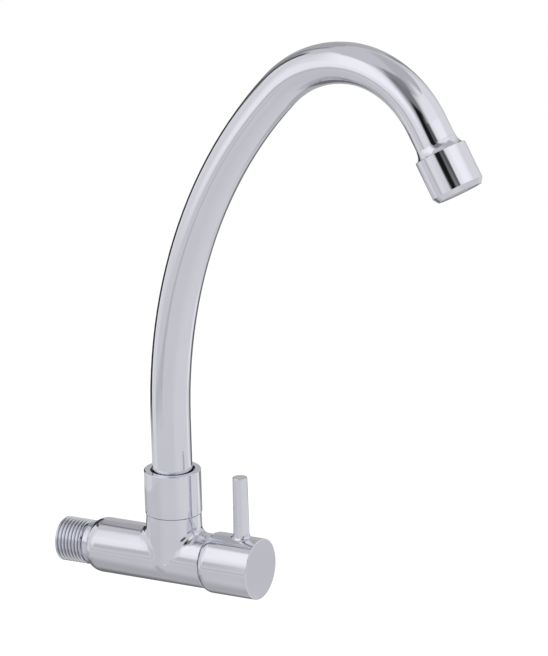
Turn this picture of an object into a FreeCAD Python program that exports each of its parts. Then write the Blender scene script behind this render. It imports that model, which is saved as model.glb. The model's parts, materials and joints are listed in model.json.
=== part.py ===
import FreeCAD, Part
import math
import os

# Cold water tap: a wall-mounted body with a half-inch inlet, a quarter-turn ceramic
# headwork under a lever handle, and a tall swan-neck spout that swivels.
# Millimetres. +X runs along the body away from the wall and +Z is up. Each piece is drawn
# from the centre of the inlet's end face, and is then moved so that the part's origin is
# the middle of the plain neck behind the inlet's thread. The lever stands up, shut, and
# the spout is swung a little to the front, as photographed.

# Clearances
fit_gap = 0.05          # between a screwed or brazed piece and its seat
run_gap = 0.06          # round a shaft that turns
end_gap = 0.05          # along the axis, between faces that slide on each other
seal_gap = 0.03         # between a moving seal and its bore
open_gap = 0.5          # round a turning piece that is guided elsewhere
seam_gap = 0.3          # between the body and the handle
groove_side_gap = 0.25  # along the axis, on each side of a ring in its groove
edge_break = 0.3
past = 1.0              # how far a cutter or a joined shape reaches past a surface

# Inlet, a half-inch pipe thread
thread_diameter = 20.955
thread_pitch = 25.4 / 14
thread_depth = 1.162
thread_length = 14.3
thread_root_flat = 0.3
thread_flank_angle = 27.5
thread_overcut = 0.15   # of the groove's cutter past the crests
relief_width = 1.5      # groove where the thread ends
relief_depth = 0.15     # of that groove below the thread's root
neck_length = 1.8       # plain neck of the crest's diameter
inlet_bore = 14.0
inlet_chamfer = 0.8
throat_bore = 11.6
throat_length = 5.0
shoulder_radius = 7.5   # rounding from the barrel down to the neck

# Places along the body, from the inlet's end face
spout_x = 60.1          # spout axis
body_end = 79.3         # face that the handle turns against
seat_to_spout = 9.0

# Spout tube: a straight foot and three bends that follow each other smoothly
tube_diameter = 18.8
tube_wall = 1.0
spout_swing = -8.3      # degrees about the spout's axis, towards the front
foot_length = 30.25
rise_bend_radius = 236.0
rise_bend_turn = 45.1   # degrees
top_bend_radius = 58.4
top_bend_turn = 43.5
end_bend_radius = 46.5
end_bend_turn = 60.3
tube_tip_length = 13.1  # straight, from the last bend to the aerator's top edge

# Swivel, from the tube outwards: bushing, stub, nut, branch and barrel
spigot_wall = 1.05
spigot_length = 8.0
groove_wall = 1.0       # metal left under the bushing's seal grooves
swivel_groove_depth = 1.6
stub_wall = 1.99
nut_wall = 1.35
nut_step = 0.4          # how far the nut stands out from the branch
nut_round = 0.5
barrel_step = 0.05      # how far the barrel is wider than the branch's top, on each side
branch_draft = 0.55     # how much wider the branch is at the barrel's axis than at its top
branch_root_round = 8.0 # under the axis, where the branch runs out into the barrel's sides
branch_fillet = 2.2     # at the barrel's top
side_fillet = 12.0      # at the barrel's sides, where the branch runs into it
riser_step = 1.46       # ledge under the bushing

# Swivel, heights
branch_top = 21.9
stub_height = 12.5
nut_height = 21.0
mouth_gap = 0.9         # round the tube in the nut's mouth
riser_ledge = 0.7       # how far the ledge lies above the branch's top
bushing_lift = 0.8      # free height over the ledge
bushing_flange_thickness = 2.2
thrust_thickness = 0.8
friction_thickness = 1.4
friction_slit = 1.5
friction_slit_angle = 150.0
first_ring_height = 3.2 # of the swivel's lower seal above the bushing's end
ring_spacing = 4.8

# Headwork, from the barrel inwards
barrel_wall = 2.55      # round the headwork's thread
chamber_step = 0.75     # from the thread in to the chamber
nose_flow_gap = 0.65    # water space round the nose
nose_wall = 1.0
flange_lip = 0.75       # how far the flange covers the body's end face
hex_inset = 0.2         # of the hexagon's corners inside the flange
disc_rim = 2.8          # outside the disc holes
disc_bridge = 3.6       # between the two holes
disc_hole_width = 76.0  # degrees
ear_width = 3.0
ear_height = 0.9
notch_height = 1.75     # of the drive notches, in from the moving disc's rim
leg_width = 30.0        # degrees
leg_play = 1.0          # degrees, between a leg and its notch
lobe_height = 1.95
closed_angle = -45.0    # of the lobes when shut, in degrees from +Z towards -Y
lobe_width = 59.0       # degrees
stop_width = 29.0       # degrees, so that the lobes travel a quarter turn
pillar_width = 46.0     # degrees, wall left between the two windows

# Headwork, along the axis
seal_thickness = 2.5
seal_lip = 0.2          # how far the seal stands back from the throat
disc_thickness = 3.0
notch_depth = 1.2
flow_height = 2.45      # between the moving disc and the spindle's foot
foot_thickness = 3.0
washer_thickness = 0.6
nose_gap = 0.5          # between the nose and the body's seat face
window_length = 6.0
window_set = 1.2        # how far the windows start past the fixed disc
headwork_thread_length = 12.4
static_ring_section = 1.6
static_ring_set = 1.7   # of the headwork's ring from the body's end
flange_thickness = 1.5
hex_height = 4.0

# Spindle
spindle_diameter = 9.0
spindle_groove_depth = 1.3
first_gland_ring = 5.2  # of the spindle's first seal past the foot
gland_ring_spacing = 4.0
gland_wall = 2.04
circlip_thickness = 1.0
circlip_groove_depth = 0.8
circlip_width = 2.5
circlip_opening = 50.0  # degrees, centred below
circlip_land = 0.4
spline_lead = 0.15
spline_length = 10.4    # in the handle
spline_step = 0.5       # from the shaft in to the tooth tips
spline_depth = 0.45
spline_teeth = 20

# Handle
handle_length = 26.3
handle_step = 1.4       # how far the handle stands out from the barrel
crown_length = 3.5      # rounded rear edge, along the axis
cavity_depth = 11.4
face_round = 0.5
lever_set = 16.5        # of the lever from the handle's rear edge
lever_diameter = 7.4     # at its foot
lever_top_diameter = 6.9
lever_top = 43.7
lever_fillet = 2.0
lever_round = 0.4
grub_diameter = 5.0
grub_length = 6.0
grub_point_gap = 0.1
grub_chamfer = 0.8
grub_key = 2.5          # across the flats of its socket
grub_key_depth = 2.2
plug_wall = 1.2
plug_thickness = 1.6

# Spout end and aerator, from the tube outwards
end_flare = 1.6         # from the tube out to the end fitting's thread
aerator_wall = 1.05
end_bore_lip = 0.6      # ledge that the tube's tip stands on, inside its bore
insert_inset = 0.4      # of the insert's flange inside the end thread
insert_step = 0.8       # from the insert's flange in to its wall
insert_wall = 1.1
outlet_inset = 1.0      # of the outlet inside the insert's wall
washer_width = 3.1

# Spout end and aerator, down the outlet from the aerator's top edge
aerator_length = 20.1
aerator_chamfer_length = 2.4
aerator_chamfer_depth = 1.6
end_proud = 0.1         # how far the end fitting stands out of the aerator
end_flare_length = 4.0  # hollow rounding from the tube to the end fitting's widest place
end_edge = 0.12         # thickness where the end fitting runs out on the tube
end_thread_length = 8.6
end_socket_depth = 6.0
washer_thickness_end = 2.0
insert_flange_thickness = 1.2
diffuser_depth = 1.6    # below the insert's top face
diffuser_thickness = 1.4
diffuser_hole = 1.2
diffuser_spacing = 2.1  # between rings of holes
diffuser_rings = 3
air_slot_width = 2.2
air_slot_height = 1.6
air_slots = 8
screen_thickness = 0.5
screen_hole = 1.1
screen_bar = 0.5
grid_thickness = 1.4
grid_hole = 1.5
grid_bar = 0.5
outlet_lip = 1.3

HALF_TURN = 180         # degrees
same_place = 0.01       # how near an edge has to be to count as found
ORIGIN = FreeCAD.Vector(0, 0, 0)
X = FreeCAD.Vector(1, 0, 0)
Y = FreeCAD.Vector(0, 1, 0)
Z = FreeCAD.Vector(0, 0, 1)

# Radii that follow, from the tube out to the barrel
tube_radius = tube_diameter / 2
tube_inside = tube_radius - tube_wall
spigot_radius = tube_inside - fit_gap
bushing_bore_radius = spigot_radius - spigot_wall
swivel_floor = bushing_bore_radius + groove_wall
journal_radius = swivel_floor + swivel_groove_depth
journal_bore_radius = journal_radius + run_gap
stub_radius = journal_bore_radius + stub_wall
nut_thread_radius = stub_radius + fit_gap
nut_radius = nut_thread_radius + nut_wall
branch_radius = nut_radius - nut_step
barrel_radius = branch_radius + barrel_step
branch_root_radius = branch_radius + branch_draft
riser_radius = journal_bore_radius - riser_step
mouth_radius = tube_radius + mouth_gap
bushing_flange_radius = nut_thread_radius - open_gap
swivel_ring_radius = journal_bore_radius - seal_gap

# Radii that follow, from the barrel in to the spindle
crest_radius = thread_diameter / 2
root_radius = crest_radius - thread_depth
relief_radius = root_radius - relief_depth
headwork_bore_radius = barrel_radius - barrel_wall
headwork_radius = headwork_bore_radius - fit_gap
static_ring_floor = headwork_bore_radius - static_ring_section
chamber_radius = headwork_bore_radius - chamber_step
nose_radius = chamber_radius - nose_flow_gap
nose_bore_radius = nose_radius - nose_wall
disc_radius = nose_bore_radius - fit_gap
flange_radius = headwork_bore_radius + flange_lip
foot_radius = nose_bore_radius - open_gap
hub_radius = foot_radius - lobe_height
spindle_radius = spindle_diameter / 2
gland_bore_radius = spindle_radius + run_gap
gland_radius = gland_bore_radius + gland_wall
spindle_floor = spindle_radius - spindle_groove_depth
spindle_ring_radius = gland_bore_radius - seal_gap
circlip_floor = spindle_radius - circlip_groove_depth
spline_tip_radius = spindle_radius - spline_step
handle_radius = barrel_radius + handle_step
cavity_radius = flange_radius + open_gap

# Places that follow, along the body's axis
neck_start = thread_length + relief_width
neck_end = neck_start + neck_length
origin_place = (neck_start + neck_end) / 2
seat_x = spout_x - seat_to_spout
fixed_disc_start = seat_x + seal_thickness
fixed_disc_end = fixed_disc_start + disc_thickness
moving_disc_start = fixed_disc_end + end_gap
moving_disc_end = moving_disc_start + disc_thickness
foot_start = moving_disc_end + flow_height
foot_end = foot_start + foot_thickness
foot_shoulder = foot_end + washer_thickness + end_gap
window_start = fixed_disc_end + window_set
window_end = window_start + window_length
headwork_start = body_end - headwork_thread_length
static_ring_x = body_end - static_ring_set
flange_end = body_end + flange_thickness
hex_end = flange_end + hex_height
handle_start = body_end + seam_gap
handle_end = handle_start + handle_length
cavity_end = handle_start + cavity_depth
lever_x = handle_start + lever_set
spline_start = cavity_end - spline_lead
spline_end = cavity_end + spline_length
circlip_end = spline_start - circlip_land
circlip_start = circlip_end - circlip_thickness
gland_end = circlip_start - end_gap
gland_rings = (foot_shoulder + first_gland_ring, foot_shoulder + first_gland_ring + gland_ring_spacing)

# Heights that follow, on the spout's axis
stub_top = branch_top + stub_height
nut_top = branch_top + nut_height
riser_top = branch_top + riser_ledge
bushing_bottom = riser_top + bushing_lift
thrust_end = stub_top + thrust_thickness
flange_bottom = thrust_end + end_gap
flange_top = flange_bottom + bushing_flange_thickness
friction_start = flange_top + end_gap
lip_bottom = friction_start + friction_thickness
swivel_rings = (bushing_bottom + first_ring_height, bushing_bottom + first_ring_height + ring_spacing)

# Sizes that follow, at the outlet
end_thread_radius = tube_radius + end_flare
end_bore_radius = tube_inside - end_bore_lip
aerator_thread_radius = end_thread_radius + fit_gap
aerator_radius = aerator_thread_radius + aerator_wall
insert_flange_radius = end_thread_radius - insert_inset
insert_radius = insert_flange_radius - insert_step
insert_inside = insert_radius - insert_wall
outlet_radius = insert_radius - outlet_inset
insert_top = end_thread_length + washer_thickness_end
diffuser_top = insert_top + diffuser_depth
diffuser_bottom = diffuser_top + diffuser_thickness
lip_top = aerator_length - outlet_lip

# Bends of the spout's centre line in their order: radius and degrees
bends = (
    (rise_bend_radius, rise_bend_turn),
    (top_bend_radius, top_bend_turn),
    (end_bend_radius, end_bend_turn),
)


# Shapes

def bar(radius, start, end, axis=X):
    """Round bar along an axis through the origin."""
    return Part.makeCylinder(radius, end - start, axis * start, axis)


def ring(outer, inner, start, end, axis=X):
    """Flat ring along an axis through the origin."""
    return bar(outer, start, end, axis).cut(bar(inner, start, end, axis))


def seal(outer, inner, position, axis=X):
    """Round-section ring that spans two radii."""
    section = (outer - inner) / 2
    return Part.makeTorus(inner + section, section, axis * position, axis)


def seal_groove(outer, inner, position, axis=X):
    """Cutter for the square groove that a round-section ring lies in."""
    half_width = (outer - inner) / 2 + groove_side_gap
    return ring(outer + open_gap, inner, position - half_width, position + half_width, axis)


def turned(points, bulges=None, axis=X):
    """Solid turned from (along, radius) points; bulges gives the middle of a curved side."""
    across = Z if axis is X else X
    corners = [axis * along + across * radius for along, radius in points]
    middles = {side: axis * along + across * radius for side, (along, radius) in (bulges or {}).items()}
    edges = []
    for side, corner in enumerate(corners):
        following = corners[(side + 1) % len(corners)]
        if side in middles:
            edges.append(Part.Arc(corner, middles[side], following).toShape())
        else:
            edges.append(Part.LineSegment(corner, following).toShape())
    return Part.Face(Part.Wire(edges)).revolve(ORIGIN, axis, 360)


def rounding(end, radius, length, curve_radius):
    """Middle of an arc that starts level at (end, radius) and falls towards the inlet."""
    half_turn = math.asin(length / curve_radius) / 2
    return (end - curve_radius * math.sin(half_turn), radius - curve_radius * (1 - math.cos(half_turn)))


def sector(inner, outer, start, end, middle, width):
    """Piece of a ring round X; angles in degrees from +Z, turning towards -Y."""
    corners = [
        FreeCAD.Vector(start, 0, inner),
        FreeCAD.Vector(end, 0, inner),
        FreeCAD.Vector(end, 0, outer),
        FreeCAD.Vector(start, 0, outer),
    ]
    face = Part.Face(Part.makePolygon(corners + corners[:1]))
    piece = face.revolve(ORIGIN, X, width)
    piece.rotate(ORIGIN, X, middle - width / 2)
    return piece


def sector_pair(inner, outer, start, end, middle, width):
    """Two like sectors, half a turn apart."""
    first = sector(inner, outer, start, end, middle, width)
    second = sector(inner, outer, start, end, middle + HALF_TURN, width)
    return Part.Compound([first, second])


def prism(points, start, end):
    """Straight bar along X with a polygon section of (y, z) points."""
    corners = [FreeCAD.Vector(start, y, z) for y, z in points]
    return Part.Face(Part.makePolygon(corners + corners[:1])).extrude(X * (end - start))


def hexagon(corner_radius):
    """Section of a hexagon bar."""
    angles = [math.radians(60 * step) for step in range(6)]
    return [(corner_radius * math.cos(angle), corner_radius * math.sin(angle)) for angle in angles]


def spline_section(tip, root, teeth):
    """Section of a toothed shaft with flat tooth tips and flat roots."""
    points = []
    for tooth in range(teeth):
        for share, radius in ((0.0, tip), (0.25, tip), (0.5, root), (0.75, root)):
            angle = 2 * math.pi * (tooth + share) / teeth
            points.append((radius * math.cos(angle), radius * math.sin(angle)))
    return points


def rim_edges(shape, height):
    """Whole circles of a piece turned about Z that lie at a height."""
    rims = [edge for edge in shape.Edges if len(edge.Vertexes) == 1]
    return [edge for edge in rims if abs(edge.Vertexes[0].Z - height) < same_place]


def crossing_edges(shape, along, crossing_radius, main_radius, slack=0.0):
    """Edges where an upright round piece leaves a round one that lies along X.

    The slack is how far a tapering upright piece may be from its mean radius.
    """
    found = []
    for edge in shape.Edges:
        middle = edge.valueAt((edge.FirstParameter + edge.LastParameter) / 2)
        from_main = math.hypot(middle.y, middle.z) - main_radius
        from_crossing = math.hypot(middle.x - along, middle.y) - crossing_radius
        if middle.z > 0 and abs(from_main) < same_place and abs(from_crossing) < same_place + slack:
            found.append(edge)
    return found


def round_crossing(casting):
    """Rounds the body's crossing, with a radius that grows from the barrel's top to its sides.

    This is done in quarters, because a radius can only change evenly along one edge.
    """
    reach = 2 * body_end
    mean_radius = (branch_radius + branch_root_radius) / 2
    quarters = []
    for x in (spout_x - reach, spout_x):
        for y in (-reach, 0):
            quarter = casting.common(Part.makeBox(reach, reach, reach, FreeCAD.Vector(x, y, -reach / 2)))
            edge = crossing_edges(quarter, spout_x, mean_radius, barrel_radius, branch_draft / 2)[0]
            starts_at_top = abs(edge.valueAt(edge.FirstParameter).y) < same_place
            radii = (branch_fillet, side_fillet) if starts_at_top else (side_fillet, branch_fillet)
            quarters.append(quarter.makeFillet(*radii, [edge]))
    return quarters[0].multiFuse(quarters[1:]).removeSplitter()


def thread_turn():
    """Cutter for one turn of the inlet's V-groove, which winds along X from the origin."""
    half_width = thread_root_flat / 2
    flare = (thread_depth + thread_overcut) * math.tan(math.radians(thread_flank_angle))
    outer = crest_radius + thread_overcut
    corners = [
        FreeCAD.Vector(root_radius, 0, -half_width),
        FreeCAD.Vector(root_radius, 0, half_width),
        FreeCAD.Vector(outer, 0, half_width + flare),
        FreeCAD.Vector(outer, 0, -half_width - flare),
    ]
    section = Part.makePolygon(corners + corners[:1])
    helix = Part.makeHelix(thread_pitch, thread_pitch, root_radius)
    sweep = Part.BRepOffsetAPI.MakePipeShell(Part.Wire(helix.Edges))
    sweep.setFrenetMode(True)
    sweep.add(section)
    sweep.build()
    sweep.makeSolid()
    turn = sweep.shape()
    turn.rotate(ORIGIN, Y, 90)
    return turn


def cut_thread(shape):
    """Cuts the thread turn by turn, from outside the inlet's end face to the relief groove."""
    whole = shape.Volume
    end = thread_length + relief_width / 2
    turns = math.ceil(end / thread_pitch + 0.5)
    for number in range(turns):
        turn = thread_turn()
        turn.translate(X * (end - (turns - number) * thread_pitch))
        shape = shape.cut(turn)
    groove_length = 2 * math.pi * root_radius * thread_length / thread_pitch
    if whole - shape.Volume < thread_depth * thread_root_flat * groove_length:
        raise RuntimeError("The inlet's thread wasn't cut.")
    return shape


def at_spout_axis(shape):
    """Moves a piece turned about Z at the origin onto the spout's axis."""
    shape.translate(X * spout_x)
    return shape


def swung(shape):
    """Moves a spout piece onto the spout's axis and swings it to its photographed place."""
    shape.rotate(ORIGIN, Z, spout_swing)
    return at_spout_axis(shape)


# Spout route, in its own upright plane

def inward(heading):
    """Direction towards the inside of the bend, for a heading in degrees from upright."""
    angle = math.radians(heading)
    return FreeCAD.Vector(math.cos(angle), 0, -math.sin(angle))


def forward(heading):
    """Direction of the centre line, for a heading in degrees from upright."""
    angle = math.radians(heading)
    return FreeCAD.Vector(math.sin(angle), 0, math.cos(angle))


def spout_route():
    """Edges of the centre line up to the last bend's end, with that end and its heading."""
    foot = Z * flange_top
    position = foot + Z * foot_length
    heading = 0.0
    edges = [Part.LineSegment(foot, position).toShape()]
    for radius, turn in bends:
        centre = position + inward(heading) * radius
        middle = centre - inward(heading + turn / 2) * radius
        end = centre - inward(heading + turn) * radius
        edges.append(Part.Arc(position, middle, end).toShape())
        position = end
        heading = heading + turn
    return edges, position, heading


def at_outlet(shape):
    """Moves a piece turned about Z, whose z runs down the outlet, to the spout's end."""
    bend_end, heading = spout_route()[1:]
    shape.rotate(ORIGIN, Y, heading)
    shape.translate(bend_end + forward(heading) * tube_tip_length)
    return swung(shape)


# Fixed pieces

def make_body():
    """Cast body: threaded inlet, barrel, branch and the male stub that takes the nut."""
    step = barrel_radius - crest_radius
    shoulder_length = math.sqrt(shoulder_radius ** 2 - (shoulder_radius - step) ** 2)
    shoulder_end = neck_end + shoulder_length
    barrel = turned(
        [
            (0, 0),
            (0, crest_radius - inlet_chamfer),
            (inlet_chamfer, crest_radius),
            (neck_end, crest_radius),
            (shoulder_end, barrel_radius),
            (body_end - edge_break, barrel_radius),
            (body_end, barrel_radius - edge_break),
            (body_end, 0),
        ],
        {3: rounding(shoulder_end, barrel_radius, shoulder_length, shoulder_radius)},
    )
    branch = turned(
        [
            (-branch_root_round, 0),
            (-branch_root_round, branch_root_radius - branch_root_round),
            (0, branch_root_radius),
            (branch_top - edge_break, branch_radius),
            (branch_top, branch_radius - edge_break),
            (branch_top, stub_radius),
            (stub_top, stub_radius),
            (stub_top, 0),
        ],
        {1: rounding(0, branch_root_radius, branch_root_round, branch_root_round)},
        axis=Z,
    )
    casting = round_crossing(barrel.fuse(at_spout_axis(branch)).removeSplitter())
    casting = casting.cut(ring(crest_radius + open_gap, relief_radius, thread_length, neck_start))
    casting = cut_thread(casting)
    throat_start = seat_x - throat_length
    waterway = turned(
        [
            (0, 0),
            (0, inlet_bore / 2),
            (throat_start, inlet_bore / 2),
            (throat_start, throat_bore / 2),
            (seat_x, throat_bore / 2),
            (seat_x, chamber_radius),
            (headwork_start, chamber_radius),
            (headwork_start, headwork_bore_radius),
            (body_end, headwork_bore_radius),
            (body_end, 0),
        ]
    )
    riser = bar(riser_radius, 0, riser_top, Z).fuse(bar(journal_bore_radius, riser_top, stub_top, Z))
    return casting.cut(waterway.fuse(at_spout_axis(riser)))


def make_bonnet():
    """Headwork: nose with two windows and two inner stops, thread, flange, hexagon and gland."""
    nose_start = seat_x + nose_gap
    shell = turned(
        [
            (nose_start, nose_bore_radius),
            (nose_start, nose_radius),
            (headwork_start, nose_radius),
            (headwork_start, headwork_radius),
            (body_end, headwork_radius),
            (body_end, flange_radius),
            (flange_end, flange_radius),
            (flange_end, gland_radius),
            (gland_end, gland_radius),
            (gland_end, gland_bore_radius),
            (foot_shoulder, gland_bore_radius),
            (foot_shoulder, nose_bore_radius),
        ]
    )
    nut = prism(hexagon(flange_radius - hex_inset), flange_end, hex_end)
    nut = nut.cut(bar(spindle_radius + gland_wall / 2, flange_end, hex_end))
    inner_stops = sector_pair(
        hub_radius + open_gap, nose_bore_radius + nose_wall / 2, foot_start, foot_end, 90, stop_width
    )
    shell = shell.fuse([nut, inner_stops])
    windows = sector_pair(
        nose_bore_radius - end_gap,
        nose_radius + open_gap,
        window_start,
        window_end,
        0,
        HALF_TURN - pillar_width,
    )
    ear_slots = Part.makeBox(
        fixed_disc_end - seat_x,
        ear_width + 2 * fit_gap,
        2 * (nose_radius + past),
        FreeCAD.Vector(seat_x, -ear_width / 2 - fit_gap, -nose_radius - past),
    )
    static_groove = seal_groove(headwork_bore_radius, static_ring_floor, static_ring_x)
    return shell.cut(windows).cut(ear_slots).cut(static_groove).removeSplitter()


def make_bonnet_o_ring():
    """Seals the headwork in the body."""
    return seal(headwork_bore_radius, static_ring_floor, static_ring_x)


def make_seat_seal():
    """Rubber ring between the body's seat and the fixed disc."""
    return ring(disc_radius, throat_bore / 2 + seal_lip, seat_x, fixed_disc_start)


def disc_holes(start, end, middle):
    """Cutters for the two sector holes of a ceramic disc."""
    return sector_pair(disc_bridge / 2, disc_radius - disc_rim, start, end, middle, disc_hole_width)


def make_fixed_disc():
    """Ceramic disc with two sector holes, held by two ears in the nose's slots."""
    disc = bar(disc_radius, fixed_disc_start, fixed_disc_end)
    ears = Part.makeBox(
        disc_thickness,
        ear_width,
        2 * (disc_radius + ear_height),
        FreeCAD.Vector(fixed_disc_start, -ear_width / 2, -disc_radius - ear_height),
    )
    holes = disc_holes(fixed_disc_start, fixed_disc_end, closed_angle + HALF_TURN)
    return disc.fuse(ears).removeSplitter().cut(holes)


def make_spout_nut():
    """Sleeve nut that screws on the stub and holds the spout down by its lip."""
    sleeve = turned(
        [
            (branch_top, nut_thread_radius),
            (branch_top, nut_radius - edge_break),
            (branch_top + edge_break, nut_radius),
            (nut_top, nut_radius),
            (nut_top, mouth_radius),
            (lip_bottom, mouth_radius),
            (lip_bottom, nut_thread_radius),
        ],
        axis=Z,
    )
    return at_spout_axis(sleeve.makeFillet(nut_round, rim_edges(sleeve, nut_top)))


def make_thrust_washer():
    """Slippery washer between the stub and the spout's flange."""
    return at_spout_axis(ring(bushing_flange_radius, journal_bore_radius, stub_top, thrust_end, Z))


def make_friction_ring():
    """Split ring between the spout's flange and the nut's lip."""
    whole = ring(bushing_flange_radius, tube_radius + open_gap, friction_start, lip_bottom, Z)
    slit = Part.makeBox(
        2 * bushing_flange_radius,
        friction_slit,
        friction_thickness,
        FreeCAD.Vector(0, -friction_slit / 2, friction_start),
    )
    slit.rotate(ORIGIN, Z, friction_slit_angle)
    return at_spout_axis(whole.cut(slit))


# Pieces that turn with the handle

def make_handle():
    """Handle barrel with its lever in one casting, hollow towards the body."""
    drop = handle_radius - barrel_radius
    crown_radius = (crown_length ** 2 + drop ** 2) / (2 * drop)
    crown_end = handle_start + crown_length
    face_middle = face_round * (1 - math.sin(math.radians(45)))
    barrel = turned(
        [
            (handle_start, 0),
            (handle_start, barrel_radius),
            (crown_end, handle_radius),
            (handle_end - face_round, handle_radius),
            (handle_end, handle_radius - face_round),
            (handle_end, 0),
        ],
        {
            1: rounding(crown_end, handle_radius, crown_length, crown_radius),
            3: (handle_end - face_middle, handle_radius - face_middle),
        },
    )
    taper_start = handle_radius + 2 * lever_fillet
    lever = turned(
        [
            (0, 0),
            (0, lever_diameter / 2),
            (taper_start, lever_diameter / 2),
            (lever_top, lever_top_diameter / 2),
            (lever_top, 0),
        ],
        axis=Z,
    )
    lever = lever.makeFillet(lever_round, rim_edges(lever, lever_top))
    lever.translate(X * lever_x)
    casting = barrel.fuse(lever).removeSplitter()
    base = crossing_edges(casting, lever_x, lever_diameter / 2, handle_radius)
    casting = casting.makeFillet(lever_fillet, base)
    cavity = bar(cavity_radius, handle_start, cavity_end)
    socket = prism(
        spline_section(spline_tip_radius + fit_gap, spline_tip_radius - spline_depth + fit_gap, spline_teeth),
        cavity_end,
        spline_end + open_gap,
    )
    screw_hole = bar(grub_diameter / 2, -handle_radius - past, 0, Z)
    screw_hole.translate(X * lever_x)
    return casting.cut(cavity).cut(socket).cut(screw_hole)


def make_grub_screw():
    """Socket screw that clamps the handle on the spindle, from below."""
    top = -spline_tip_radius - grub_point_gap
    bottom = top - grub_length
    screw = bar(grub_diameter / 2 - fit_gap, bottom, top, Z)
    screw = screw.makeChamfer(grub_chamfer, rim_edges(screw, top))
    key_corner = grub_key / 2 / math.cos(math.radians(30))
    key = prism(hexagon(key_corner), 0, grub_key_depth)
    key.rotate(ORIGIN, Y, -90)
    key.translate(Z * bottom)
    screw = screw.cut(key)
    screw.translate(X * lever_x)
    return screw


def make_grub_screw_plug():
    """Cap that hides the screw's hole, flush with the handle."""
    top = -spline_tip_radius - grub_point_gap - grub_length - fit_gap
    plug_radius = grub_diameter / 2 - fit_gap
    plug = bar(plug_radius, -handle_radius - past, top, Z)
    plug = plug.cut(bar(plug_radius - plug_wall, -handle_radius + plug_thickness, top, Z))
    plug.translate(X * lever_x)
    return plug.common(bar(handle_radius, handle_start, handle_end))


def make_spindle():
    """Shaft with a two-lobed foot, two drive legs, seal grooves and a splined end."""
    shaft = turned(
        [
            (foot_start, 0),
            (foot_start, hub_radius),
            (foot_end, hub_radius),
            (foot_end, spindle_radius),
            (spline_start, spindle_radius),
            (spline_start, 0),
        ]
    )
    lobes = sector_pair(hub_radius - past, foot_radius, foot_start, foot_end, closed_angle, lobe_width)
    legs = sector_pair(
        foot_radius - notch_height + fit_gap,
        foot_radius,
        moving_disc_end - notch_depth + fit_gap,
        foot_start + past,
        closed_angle,
        leg_width - leg_play,
    )
    splines = prism(
        spline_section(spline_tip_radius, spline_tip_radius - spline_depth, spline_teeth),
        spline_start,
        spline_end,
    )
    spindle = shaft.fuse([lobes, legs, splines]).removeSplitter()
    for position in gland_rings:
        spindle = spindle.cut(seal_groove(spindle_ring_radius, spindle_floor, position))
    return spindle.cut(ring(gland_bore_radius, circlip_floor, circlip_start, circlip_end))


def make_spindle_o_rings():
    """Two seals between the spindle and the gland."""
    return Part.Compound([seal(spindle_ring_radius, spindle_floor, position) for position in gland_rings])


def make_spindle_washer():
    """Slippery washer between the spindle's foot and the headwork's shoulder."""
    return ring(hub_radius, spindle_radius + fit_gap, foot_end, foot_end + washer_thickness)


def make_spindle_circlip():
    """Open spring ring that keeps the spindle in the gland."""
    outer = circlip_floor + circlip_width
    whole = ring(outer, circlip_floor, circlip_start, circlip_end)
    opening = sector(
        circlip_floor - past, outer + past, circlip_start, circlip_end, HALF_TURN, circlip_opening
    )
    return whole.cut(opening)


def make_moving_disc():
    """Ceramic disc that the spindle turns: sector holes a quarter turn off the fixed ones."""
    disc = bar(foot_radius, moving_disc_start, moving_disc_end)
    notch_start = moving_disc_end - notch_depth
    notches = sector_pair(
        foot_radius - notch_height, foot_radius + past, notch_start, moving_disc_end, closed_angle, leg_width
    )
    holes = disc_holes(moving_disc_start, moving_disc_end, closed_angle + 90)
    return disc.cut(holes).cut(notches)


# Pieces that turn with the spout

def make_spout_tube():
    """Bent tube from the bushing's flange into the end fitting's socket."""
    edges, bend_end, heading = spout_route()
    tip = bend_end + forward(heading) * (tube_tip_length + end_socket_depth)
    edges.append(Part.LineSegment(bend_end, tip).toShape())
    route = Part.Wire(edges)
    skins = []
    for radius in (tube_radius, tube_inside):
        section = Part.Face(Part.Wire(Part.makeCircle(radius, Z * flange_top, Z)))
        skins.append(route.makePipe(section))
    tube = skins[0].cut(skins[1])
    plain_volume = math.pi * (tube_radius ** 2 - tube_inside ** 2) * route.Length
    print("spout tube: volume over section times length", round(tube.Volume / plain_volume, 5))
    return swung(tube)


def make_spout_bushing():
    """Brass journal brazed in the tube's foot, with a flange and two seal grooves."""
    spigot_end = flange_top + spigot_length
    bushing = turned(
        [
            (bushing_bottom, bushing_bore_radius),
            (bushing_bottom, journal_radius),
            (flange_bottom, journal_radius),
            (flange_bottom, bushing_flange_radius),
            (flange_top, bushing_flange_radius),
            (flange_top, spigot_radius),
            (spigot_end, spigot_radius),
            (spigot_end, bushing_bore_radius),
        ],
        axis=Z,
    )
    for position in swivel_rings:
        bushing = bushing.cut(seal_groove(swivel_ring_radius, swivel_floor, position, Z))
    return swung(bushing)


def make_spout_o_rings():
    """Two seals between the bushing and the body's bore."""
    seals = [seal(swivel_ring_radius, swivel_floor, position, Z) for position in swivel_rings]
    return swung(Part.Compound(seals))


def make_spout_end_fitting():
    """Threaded brass end brazed on the tube, flared up to the tube's surface."""
    socket = tube_radius + fit_gap
    edge = socket + end_edge
    flare_start = -end_flare_length - end_proud
    step = end_thread_radius - edge
    flare_radius = (end_flare_length ** 2 + step ** 2) / (2 * step)
    half_turn = math.asin(end_flare_length / flare_radius) / 2
    along = flare_start + flare_radius * math.sin(half_turn)
    fitting = turned(
        [
            (flare_start, socket),
            (flare_start, edge),
            (-end_proud, end_thread_radius),
            (end_thread_length, end_thread_radius),
            (end_thread_length, end_bore_radius),
            (end_socket_depth, end_bore_radius),
            (end_socket_depth, socket),
        ],
        {1: (along, edge + flare_radius * (1 - math.cos(half_turn)))},
        axis=Z,
    )
    return at_outlet(fitting)


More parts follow.
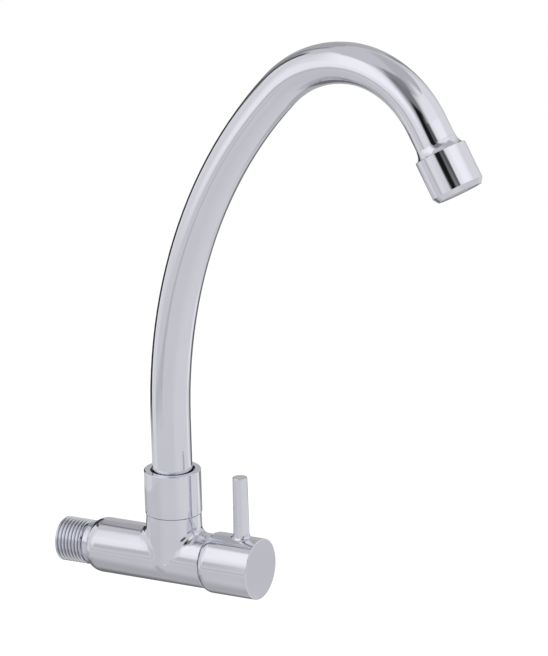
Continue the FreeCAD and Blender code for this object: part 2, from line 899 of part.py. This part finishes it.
def make_aerator_housing():
    """Chromed sleeve screwed on the spout's end, with a chamfered outlet."""
    insert_seat = insert_top + insert_flange_thickness
    housing = turned(
        [
            (0, aerator_thread_radius),
            (0, aerator_radius - edge_break),
            (edge_break, aerator_radius),
            (aerator_length - aerator_chamfer_length, aerator_radius),
            (aerator_length, aerator_radius - aerator_chamfer_depth),
            (aerator_length, outlet_radius),
            (lip_top, outlet_radius),
            (lip_top, insert_radius + fit_gap),
            (insert_seat, insert_radius + fit_gap),
            (insert_seat, aerator_thread_radius),
        ],
        axis=Z,
    )
    return at_outlet(housing)


def make_aerator_washer():
    """Rubber washer between the spout's end and the aerator's insert."""
    inner = insert_flange_radius - washer_width
    return at_outlet(ring(insert_flange_radius, inner, end_thread_length, insert_top, Z))


def mesh_holes(radius, hole, bar_width, start, end):
    """Cutters for every square hole of a mesh that lies wholly inside a circle."""
    pitch = hole + bar_width
    reach = int(radius / pitch)
    cutters = []
    for column in range(-reach, reach + 1):
        for row in range(-reach, reach + 1):
            far_corner = math.hypot(abs(column) * pitch + hole / 2, abs(row) * pitch + hole / 2)
            if far_corner < radius - bar_width / 2:
                corner = FreeCAD.Vector(column * pitch - hole / 2, row * pitch - hole / 2, start)
                cutters.append(Part.makeBox(hole, hole, end - start, corner))
    return Part.Compound(cutters)


def make_aerator_screen():
    """Fine mesh that lies on the insert's diffuser plate."""
    top = diffuser_top - screen_thickness
    mesh = bar(insert_inside - fit_gap, top, diffuser_top, Z)
    return at_outlet(mesh.cut(mesh_holes(insert_inside, screen_hole, screen_bar, top, diffuser_top)))


def make_aerator_insert():
    """Plastic cup with a drilled diffuser plate and air slots in its wall."""
    cup = ring(insert_radius, insert_inside, insert_top, lip_top, Z)
    flange_bottom_face = insert_top + insert_flange_thickness
    flange = ring(insert_flange_radius, insert_inside, insert_top, flange_bottom_face, Z)
    plate = bar(insert_radius - insert_wall / 2, diffuser_top, diffuser_bottom, Z)
    insert = cup.fuse([flange, plate]).removeSplitter()
    cutters = []
    for ring_number in range(1, diffuser_rings + 1):
        count = 6 * ring_number
        for step in range(count):
            hole = bar(diffuser_hole / 2, diffuser_top, diffuser_bottom, Z)
            hole.translate(X * ring_number * diffuser_spacing)
            hole.rotate(ORIGIN, Z, 360 * step / count)
            cutters.append(hole)
    for step in range(air_slots):
        corner = FreeCAD.Vector(insert_inside - insert_wall / 2, -air_slot_width / 2, diffuser_bottom)
        slot = Part.makeBox(2 * insert_wall, air_slot_width, air_slot_height, corner)
        slot.rotate(ORIGIN, Z, 360 * step / air_slots)
        cutters.append(slot)
    return at_outlet(insert.cut(Part.Compound(cutters)))


def make_aerator_grid():
    """Plastic grid at the outlet, which straightens the jet."""
    top = lip_top - grid_thickness
    grid = bar(insert_inside - fit_gap, top, lip_top, Z)
    return at_outlet(grid.cut(mesh_holes(outlet_radius, grid_hole, grid_bar, top, lip_top)))


PIECES = {
    "body": make_body,
    "bonnet": make_bonnet,
    "bonnet_o_ring": make_bonnet_o_ring,
    "seat_seal": make_seat_seal,
    "fixed_disc": make_fixed_disc,
    "spout_nut": make_spout_nut,
    "thrust_washer": make_thrust_washer,
    "friction_ring": make_friction_ring,
    "handle": make_handle,
    "grub_screw": make_grub_screw,
    "grub_screw_plug": make_grub_screw_plug,
    "spindle": make_spindle,
    "spindle_o_rings": make_spindle_o_rings,
    "spindle_washer": make_spindle_washer,
    "spindle_circlip": make_spindle_circlip,
    "moving_disc": make_moving_disc,
    "spout_tube": make_spout_tube,
    "spout_bushing": make_spout_bushing,
    "spout_o_rings": make_spout_o_rings,
    "spout_end_fitting": make_spout_end_fitting,
    "aerator_housing": make_aerator_housing,
    "aerator_washer": make_aerator_washer,
    "aerator_screen": make_aerator_screen,
    "aerator_insert": make_aerator_insert,
    "aerator_grid": make_aerator_grid,
}

os.makedirs("parts", exist_ok=True)
for name, make in PIECES.items():
    piece = make()
    piece.translate(X * -origin_place)
    piece.exportStep("parts/" + name + ".step")
    box = piece.BoundBox
    print(
        name,
        "solids", len(piece.Solids),
        "valid", piece.isValid(),
        "volume", round(piece.Volume, 1),
        "x", round(box.XMin, 2), round(box.XMax, 2),
        "y", round(box.YMin, 2), round(box.YMax, 2),
        "z", round(box.ZMin, 2), round(box.ZMax, 2),
    )
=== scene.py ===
import json
import math

import bpy
from mathutils import Matrix, Vector

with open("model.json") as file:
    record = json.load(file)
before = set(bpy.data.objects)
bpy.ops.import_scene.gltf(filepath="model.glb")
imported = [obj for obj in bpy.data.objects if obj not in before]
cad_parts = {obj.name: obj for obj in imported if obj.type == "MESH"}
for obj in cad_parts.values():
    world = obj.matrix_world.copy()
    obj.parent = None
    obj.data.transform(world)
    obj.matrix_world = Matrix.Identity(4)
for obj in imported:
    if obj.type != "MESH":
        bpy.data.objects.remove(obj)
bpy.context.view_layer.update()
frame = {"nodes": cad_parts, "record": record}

# Camera, at the photograph's viewing angle
CAMERA_PLACE = (1.27864, -2.08460, 0.85803)
CAMERA_AZIMUTH = 29.49
CAMERA_ELEVATION = 17.163
CAMERA_ROLL = -1.576
CAMERA_LENS = 301.57    # millimetres, on a sensor whose long side is 36 mm
SENSOR_SIDE = 36.0
CAMERA_NEAR = 0.05
CAMERA_FAR = 50.0

# Chrome
CHROME_COLOR = (0.838, 0.845, 0.92)
CHROME_HAZE = 0.97      # share of the chrome's brightness that is left in its hazy patches
CREVICE_SHADE_REACH = 0.0011  # how near walls have to be for painted shade to darken the chrome between them
CREVICE_SHADE = 0.3     # share of the chrome's brightness that the painted shade leaves at the bottom
CREVICE_SAMPLES = 8
CAST_NODES = ("body", "handle")     # cast and then polished, so less smooth than the tube

# Studio
WHITE = (1.0, 1.0, 1.0, 1.0)
FLOOR_HEIGHT = -0.16
FLOOR_SIZE = 12.0
FLOOR_COLOR = (0.93, 0.93, 0.93, 1.0)
FLOOR_LIFT = 0.25       # brightness that the floor adds where it is seen directly or mirrored
WORLD_STRENGTH = 0.78
WORLD_SEEN = 1.0        # strength of the world where it is seen directly or mirrored
KEY_POWER = 9.0
KEY_SIZE = 1.2
KEY_PLACE = (-0.9, -1.1, 1.7)

# Light tent that only reflections see: an upright drum round the tap
TENT_CENTRE = (0.0837, -0.01)
TENT_RADIUS = 0.5
TENT_BOTTOM = -0.12
TENT_TOP = 0.8
TENT_SIDES = 128
TENT_WALL = 0.65
TENT_FLOOR = 0.65
TENT_CEILING = 0.60

# Fields of the tent's wall: from and to in degrees round it, edge width in degrees, from and
# to in metres up it, edge width in metres, slant in degrees for each metre up, brightness.
# Angle 0 faces the camera and turns to the right as the camera sees it. A later field lies
# over an earlier one.
WALL_FIELDS = (
    (-220, -150, 6, 0.28, 1.0, 0.06, 20, 0.43),     # wall beyond the left softbox
    (-200, -168, 6, 0.0, 0.3, 0.05, 0, 0.50),       # its lower part
    (-133, -34, 8, 0.06, 0.80, 0.16, 0, 0.80),      # left softbox
    (-122, -100, 8, 0.05, 0.60, 0.10, 0, 0.73),     # its duller far side
    (-136, -106, 12, 0.60, 0.84, 0.10, 0, 0.62),    # shade at its far top corner
    (-90, -60, 16, 0.07, 0.38, 0.12, 0, 0.92),      # its bright near side
    (-54, -10, 22, 0.24, 0.74, 0.16, -55, 1.00),    # its bright middle
    (-71, -57, 5, 0.01, 0.13, 0.10, 0, 0.55),       # its dull foot
    (-92, -56, 8, -0.083, -0.056, 0.02, 0, 0.54),   # shade above the floor's edge
    (-61, -51, 6, -0.088, -0.066, 0.02, 0, 0.50),   # its dark end
    (14, 104, 20, -0.20, -0.08, 0.05, 0, 0.71),     # the bright floor's edge on the right
    (-166, -118, 5, -0.08, 0.28, 0.05, 0, 0.04),    # gap left of the backdrop
    (-129, -100, 4, -0.14, 0.33, 0.05, -50, 0.74),  # softbox's lower edge over the gap
    (-131, -124, 4, -0.06, 0.31, 0.06, -50, 0.92),  # its bright rim
    (-176, -160, 8, 0.28, 0.52, 0.08, 40, 0.30),    # shade beside the gap
    (-163, -151, 8, 0.26, 0.60, 0.10, 48, 0.07),    # the gap's narrow upper part
    (-170, -167, 3, 0.48, 0.76, 0.05, 34, 0.12),    # pole
    (-8, 76, 22, 0.40, 1.0, 0.06, 45, 0.87),        # right softbox
    (80, 128, 10, 0.24, 1.0, 0.10, 0, 0.78),        # its far side
    (36, 72, 20, 0.44, 0.50, 0.08, 0, 1.02),        # its bright lower edge
    (-2, 36, 22, 0.30, 1.0, 0.08, -46, 0.20),       # camera side
    (-20, 9, 14, 0.55, 1.0, 0.10, 0, 0.22),         # its upper part
    (-17, 3, 7, 0.28, 0.50, 0.07, 4, 0.01),         # its core
    (-2, 20, 5, 0.395, 0.44, 0.03, 4, 0.10),        # arm of the core
    (8, 33, 6, -0.05, 0.10, 0.05, 0, 0.08),         # foot of the camera's stand
    (145, 157, 6, 0.24, 0.62, 0.10, 0, 0.30),       # post right of the backdrop
    (157, 185, 6, -0.14, 0.90, 0.10, 0, 0.48),      # backdrop
    (140, 164, 6, -0.20, -0.02, 0.06, 0, 0.12),     # gap at its foot
    (107, 125, 9, -0.20, 0.04, 0.13, 3, 0.84),      # low white card
)

# Fields of the tent's floor and ceiling: from, to and edge width in metres to the right, the
# same in metres away from the camera, slant, brightness. The tent's axis is at 0.
FLOOR_FIELDS = (
    (-0.6, -0.10, 0.20, -0.25, 0.6, 0.15, 0, 0.60),     # duller left half
    (0.12, 1.0, 0.30, -0.6, 0.22, 0.1, 0, 0.71),        # bright right half
    (-0.36, 0.20, 0.08, 0.10, 0.60, 0.08, 0, 0.45),     # shade behind the tap
    (-0.24, -0.02, 0.06, -0.01, 0.12, 0.08, 0, 0.44),   # its near part
    (-0.20, 0.02, 0.05, 0.09, 0.30, 0.06, 0, 0.18),     # its core
    (0.245, 0.37, 0.03, 0.14, 0.235, 0.04, 0, 0.59),    # grey patch that the handle's end mirrors
    (0.30, 0.50, 0.05, 0.24, 0.33, 0.04, 0, 0.88),      # bright strip beyond it
    (0.16, 0.40, 0.05, 0.36, 0.60, 0.04, 0, 0.28),      # dark strip at the backdrop's foot
)
CEILING_FIELDS = (
    (0.04, 0.60, 0.12, -0.6, 0.32, 0.12, 0, 0.50),      # duller right half
    (0.27, 0.60, 0.20, -0.6, -0.15, 0.16, 0, 0.84),     # top of the right softbox
    (-0.25, 0.12, 0.16, -0.6, -0.27, 0.12, 0, 0.26),    # dark above the camera
)


# Nodes that work out numbers

def calculated(tree, operation, *values):
    """Result of a maths node; each value is a socket or a number."""
    maths = tree.nodes.new("ShaderNodeMath")
    maths.operation = operation
    for socket, value in zip(maths.inputs, values):
        if isinstance(value, (int, float)):
            socket.default_value = value
        else:
            tree.links.new(value, socket)
    return maths.outputs["Value"]


def between(tree, source, low, high, start=0.0, end=1.0, curve="LINEAR"):
    """A number that goes from low to high as the source goes from start to end."""
    remap = tree.nodes.new("ShaderNodeMapRange")
    remap.interpolation_type = curve
    for name, value in (("From Min", start), ("From Max", end), ("To Min", low), ("To Max", high)):
        remap.inputs[name].default_value = value
    tree.links.new(source, remap.inputs["Value"])
    return remap.outputs["Result"]


def seen(tree):
    """1 for rays from the camera or from a mirroring or clear surface, otherwise 0."""
    rays = tree.nodes.new("ShaderNodeLightPath").outputs
    bounced = calculated(tree, "MAXIMUM", rays["Is Glossy Ray"], rays["Is Transmission Ray"])
    return calculated(tree, "MAXIMUM", rays["Is Camera Ray"], bounced)


# Materials

class Finish:
    """A new material with its Principled shader, and short ways to make it look worked and to paint shade
    into its crevices.
    """

    def __init__(self, name, metallic):
        self.material = bpy.data.materials.new(name)
        self.material.use_nodes = True
        self.tree = self.material.node_tree
        self.surface = self.tree.nodes["Principled BSDF"]
        self.surface.inputs["Metallic"].default_value = metallic
        self.place = self.node("ShaderNodeTexCoord").outputs["Object"]

    def node(self, kind, **settings):
        made = self.tree.nodes.new(kind)
        for name, value in settings.items():
            setattr(made, name, value)
        return made

    def link(self, source, target):
        self.tree.links.new(source, target)

    def noise(self, per_metre, detail=3.0, stretch=(1.0, 1.0, 1.0)):
        """Noise with about per_metre features in a metre, 0 to 1."""
        mapping = self.node("ShaderNodeMapping")
        mapping.inputs["Scale"].default_value = stretch
        self.link(self.place, mapping.inputs["Vector"])
        noise = self.node("ShaderNodeTexNoise")
        noise.inputs["Scale"].default_value = per_metre
        noise.inputs["Detail"].default_value = detail
        self.link(mapping.outputs["Vector"], noise.inputs["Vector"])
        return noise.outputs["Fac"]

    def patches(self, low, high, **noise):
        """A number that goes from low to high in soft patches."""
        return between(self.tree, self.noise(**noise), low, high, start=0.3, end=0.7)

    def color(self, first, second, per_metre):
        """Colour that goes from the first to the second in patches."""
        mix = self.node("ShaderNodeMix", data_type="RGBA")
        mix.inputs["A"].default_value = (*first, 1.0)
        mix.inputs["B"].default_value = (*second, 1.0)
        self.link(self.patches(0.0, 1.0, per_metre=per_metre), mix.inputs["Factor"])
        self.link(mix.outputs["Result"], self.surface.inputs["Base Color"])

    def roughness(self, low, high, **noise):
        """Roughness that goes from low to high in patches."""
        self.link(self.patches(low, high, **noise), self.surface.inputs["Roughness"])

    def relief(self, strength, depth, **noise):
        """Relief of the noise, depth metres high."""
        bump = self.node("ShaderNodeBump")
        bump.inputs["Strength"].default_value = strength
        bump.inputs["Distance"].default_value = depth
        self.link(self.noise(**noise), bump.inputs["Height"])
        self.link(bump.outputs["Normal"], self.surface.inputs["Normal"])

    def paint_crevice_shade(self):
        """Paints shade into the colour in thread grooves and seams, darker where walls are near."""
        openness = self.node("ShaderNodeAmbientOcclusion", samples=CREVICE_SAMPLES)
        openness.inputs["Distance"].default_value = CREVICE_SHADE_REACH
        left = between(self.tree, openness.outputs["AO"], CREVICE_SHADE, 1.0, start=0.2, end=0.9)
        shade = self.node("ShaderNodeMix", data_type="RGBA", blend_type="MULTIPLY")
        shade.inputs["Factor"].default_value = 1.0
        self.link(self.surface.inputs["Base Color"].links[0].from_socket, shade.inputs["A"])
        self.link(left, shade.inputs["B"])
        self.link(shade.outputs["Result"], self.surface.inputs["Base Color"])


def chrome(name, smooth, rough, waves):
    """Polished chrome plating over brass: faint waves of the polished metal, hazy patches and painted shade
    in its grooves and seams.
    """
    finish = Finish(name, metallic=1.0)
    hazy = tuple(CHROME_HAZE * channel for channel in CHROME_COLOR)
    finish.color(CHROME_COLOR, hazy, per_metre=45.0)
    # painted shade in the grooves and seams, darker where walls are near
    finish.paint_crevice_shade()
    finish.roughness(smooth, rough, per_metre=70.0, detail=4.0)
    finish.relief(strength=waves, depth=0.001, per_metre=60.0, detail=1.0)
    return finish.material


def brass():
    """Turned brass: fine tool lines round each piece and a slight stain."""
    finish = Finish("brass", metallic=1.0)
    finish.color((0.74, 0.60, 0.31), (0.66, 0.51, 0.25), per_metre=120.0)
    finish.roughness(0.2, 0.34, per_metre=300.0)
    finish.relief(strength=0.3, depth=0.0001, per_metre=2500.0, stretch=(1.0, 0.05, 0.05))
    return finish.material


def steel():
    """Stainless steel, drawn and slightly brushed."""
    finish = Finish("steel", metallic=1.0)
    finish.color((0.62, 0.62, 0.62), (0.54, 0.54, 0.55), per_metre=200.0)
    finish.roughness(0.24, 0.38, per_metre=400.0)
    finish.relief(strength=0.3, depth=0.00008, per_metre=3000.0, stretch=(0.05, 1.0, 1.0))
    return finish.material


def rubber():
    """Black moulded rubber with a fine dull skin."""
    finish = Finish("rubber", metallic=0.0)
    finish.color((0.024, 0.024, 0.025), (0.04, 0.04, 0.04), per_metre=500.0)
    finish.roughness(0.5, 0.68, per_metre=900.0)
    finish.relief(strength=0.35, depth=0.0001, per_metre=2500.0)
    return finish.material


def ceramic():
    """Lapped ceramic, off-white and dense, with a silky polish."""
    finish = Finish("ceramic", metallic=0.0)
    finish.color((0.91, 0.90, 0.87), (0.86, 0.85, 0.81), per_metre=800.0)
    finish.roughness(0.14, 0.26, per_metre=600.0)
    finish.relief(strength=0.15, depth=0.00004, per_metre=4000.0)
    return finish.material


def plastic(name, color, shade):
    """Moulded plastic with a fine satin grain, through which a little light spreads."""
    finish = Finish(name, metallic=0.0)
    finish.color(color, shade, per_metre=250.0)
    finish.roughness(0.34, 0.5, per_metre=700.0)
    finish.relief(strength=0.25, depth=0.00006, per_metre=3500.0)
    finish.surface.inputs["Subsurface Weight"].default_value = 0.08
    finish.surface.inputs["Subsurface Radius"].default_value = (0.001, 0.001, 0.001)
    return finish.material


def dress_cad():
    """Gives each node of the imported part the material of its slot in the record."""
    slots = {part["node"]: part["material_slot"] for part in frame["record"]["subparts"]}
    materials = {
        "chrome": chrome("chrome", smooth=0.035, rough=0.06, waves=0.02),
        "brass": brass(),
        "steel": steel(),
        "rubber": rubber(),
        "ceramic": ceramic(),
        "white_plastic": plastic("white_plastic", (0.88, 0.88, 0.86), (0.84, 0.84, 0.81)),
        "grey_plastic": plastic("grey_plastic", (0.55, 0.56, 0.58), (0.51, 0.52, 0.54)),
    }
    cast_chrome = chrome("cast_chrome", smooth=0.055, rough=0.095, waves=0.05)
    for name, node in frame["nodes"].items():
        node.data.materials.clear()
        node.data.materials.append(cast_chrome if name in CAST_NODES else materials[slots[name]])


# Camera and studio

def add_camera():
    """Camera turned by its azimuth and elevation, then rolled about its line of sight."""
    azimuth, elevation, roll = (math.radians(a) for a in (CAMERA_AZIMUTH, CAMERA_ELEVATION, CAMERA_ROLL))
    back = Vector((
        math.sin(azimuth) * math.cos(elevation),
        -math.cos(azimuth) * math.cos(elevation),
        math.sin(elevation),
    ))
    right = (-back).cross(Vector((0, 0, 1))).normalized()
    up = right.cross(-back)
    turned_right = right * math.cos(roll) + up * math.sin(roll)
    turned_up = up * math.cos(roll) - right * math.sin(roll)
    data = bpy.data.cameras.new("camera")
    data.sensor_width = SENSOR_SIDE
    data.lens = CAMERA_LENS
    data.clip_start = CAMERA_NEAR
    data.clip_end = CAMERA_FAR
    camera = bpy.data.objects.new("camera", data)
    axes = Matrix((turned_right, turned_up, back)).transposed().to_4x4()
    camera.matrix_world = Matrix.Translation(Vector(CAMERA_PLACE)) @ axes
    bpy.context.scene.collection.objects.link(camera)
    bpy.context.scene.camera = camera


def stage_mesh(name, points, faces, material):
    """Stage object from points and faces."""
    mesh = bpy.data.meshes.new(name)
    mesh.from_pydata(points, [], faces)
    mesh.materials.append(material)
    made = bpy.data.objects.new(name, mesh)
    bpy.context.scene.collection.objects.link(made)
    return made


def add_floor():
    """Lit floor that takes the shadow, lifted to white where it is seen."""
    material = bpy.data.materials.new("floor")
    material.use_nodes = True
    material.cycles.emission_sampling = "NONE"
    tree = material.node_tree
    surface = tree.nodes["Principled BSDF"]
    surface.inputs["Base Color"].default_value = FLOOR_COLOR
    surface.inputs["Roughness"].default_value = 1.0
    surface.inputs["Specular IOR Level"].default_value = 0.0
    surface.inputs["Emission Color"].default_value = WHITE
    tree.links.new(between(tree, seen(tree), 0.0, FLOOR_LIFT), surface.inputs["Emission Strength"])
    half = FLOOR_SIZE / 2
    corners = [(x, y, FLOOR_HEIGHT) for x, y in ((-half, -half), (half, -half), (half, half), (-half, half))]
    stage_mesh("floor", corners, [(0, 1, 2, 3)], material)


def field_weight(tree, place, start, end, edge):
    """1 between start and end, falling smoothly to 0 over the edge's width."""
    rise = between(tree, place, 0.0, 1.0, start - edge / 2, start + edge / 2, curve="SMOOTHSTEP")
    fall = between(tree, place, 0.0, 1.0, end + edge / 2, end - edge / 2, curve="SMOOTHSTEP")
    return calculated(tree, "MULTIPLY", rise, fall)


def painted(tree, base, fields, across, upwards):
    """Brightness of the fields over an even base; across and upwards place a point."""
    brightness = base
    for start, end, edge, low, high, rim, slant, value in fields:
        leaning = calculated(tree, "SUBTRACT", across, calculated(tree, "MULTIPLY", upwards, slant))
        around = field_weight(tree, leaning, start, end, edge)
        weight = calculated(tree, "MULTIPLY", around, field_weight(tree, upwards, low, high, rim))
        step = calculated(tree, "SUBTRACT", value, brightness)
        brightness = calculated(tree, "MULTIPLY_ADD", step, weight, brightness)
    return brightness


def tent_material(name, base, fields, by_angle):
    """Glow of the tent's wall, by angle and height, or of its floor or ceiling."""
    material = bpy.data.materials.new(name)
    material.use_nodes = True
    material.cycles.emission_sampling = "NONE"
    tree = material.node_tree
    tree.nodes.clear()
    axes = tree.nodes.new("ShaderNodeSeparateXYZ")
    tree.links.new(tree.nodes.new("ShaderNodeTexCoord").outputs["Object"], axes.inputs["Vector"])
    across, upwards, height = axes.outputs
    if by_angle:
        turn = calculated(tree, "ARCTAN2", across, calculated(tree, "MULTIPLY", upwards, -1))
        across = calculated(tree, "DEGREES", turn)
        upwards = height
    glow = tree.nodes.new("ShaderNodeEmission")
    output = tree.nodes.new("ShaderNodeOutputMaterial")
    tree.links.new(painted(tree, base, fields, across, upwards), glow.inputs["Strength"])
    tree.links.new(glow.outputs["Emission"], output.inputs["Surface"])
    return material


def add_tent():
    """Drum of glowing walls that only mirror-like surfaces see."""
    turns = [2 * math.pi * side / TENT_SIDES for side in range(TENT_SIDES)]
    bottom, top = (
        [(TENT_RADIUS * math.cos(turn), TENT_RADIUS * math.sin(turn), height) for turn in turns]
        for height in (TENT_BOTTOM, TENT_TOP)
    )
    walls = [
        (side, (side + 1) % TENT_SIDES, TENT_SIDES + (side + 1) % TENT_SIDES, TENT_SIDES + side)
        for side in range(TENT_SIDES)
    ]
    disc = [tuple(range(TENT_SIDES))]
    for name, points, faces, base, fields, by_angle in (
        ("tent_wall", bottom + top, walls, TENT_WALL, WALL_FIELDS, True),
        ("tent_floor", bottom, disc, TENT_FLOOR, FLOOR_FIELDS, False),
        ("tent_ceiling", top, disc, TENT_CEILING, CEILING_FIELDS, False),
    ):
        piece = stage_mesh(name, points, faces, tent_material(name, base, fields, by_angle))
        piece.location = (*TENT_CENTRE, 0.0)
        piece.rotation_euler = (0.0, 0.0, math.radians(CAMERA_AZIMUTH))
        piece.visible_camera = False
        piece.visible_diffuse = False
        piece.visible_transmission = False
        piece.visible_shadow = False


def add_world():
    """Even white world, white where it is seen and a little weaker as a light."""
    world = bpy.data.worlds.new("world")
    world.use_nodes = True
    bpy.context.scene.world = world
    tree = world.node_tree
    ground = tree.nodes["Background"]
    ground.inputs["Color"].default_value = WHITE
    tree.links.new(between(tree, seen(tree), WORLD_STRENGTH, WORLD_SEEN), ground.inputs["Strength"])


def add_key():
    """One large soft lamp for the floor's shadow and the dull pieces; the chrome doesn't mirror it."""
    data = bpy.data.lights.new("key", "AREA")
    data.energy = KEY_POWER
    data.size = KEY_SIZE
    lamp = bpy.data.objects.new("key", data)
    lamp.location = KEY_PLACE
    lamp.rotation_mode = "QUATERNION"
    lamp.rotation_quaternion = (-Vector(KEY_PLACE)).to_track_quat("-Z", "Y")
    lamp.visible_glossy = False
    bpy.context.scene.collection.objects.link(lamp)


bpy.context.scene.view_settings.view_transform = "Standard"
add_camera()
dress_cad()
add_floor()
add_tent()
add_world()
add_key()
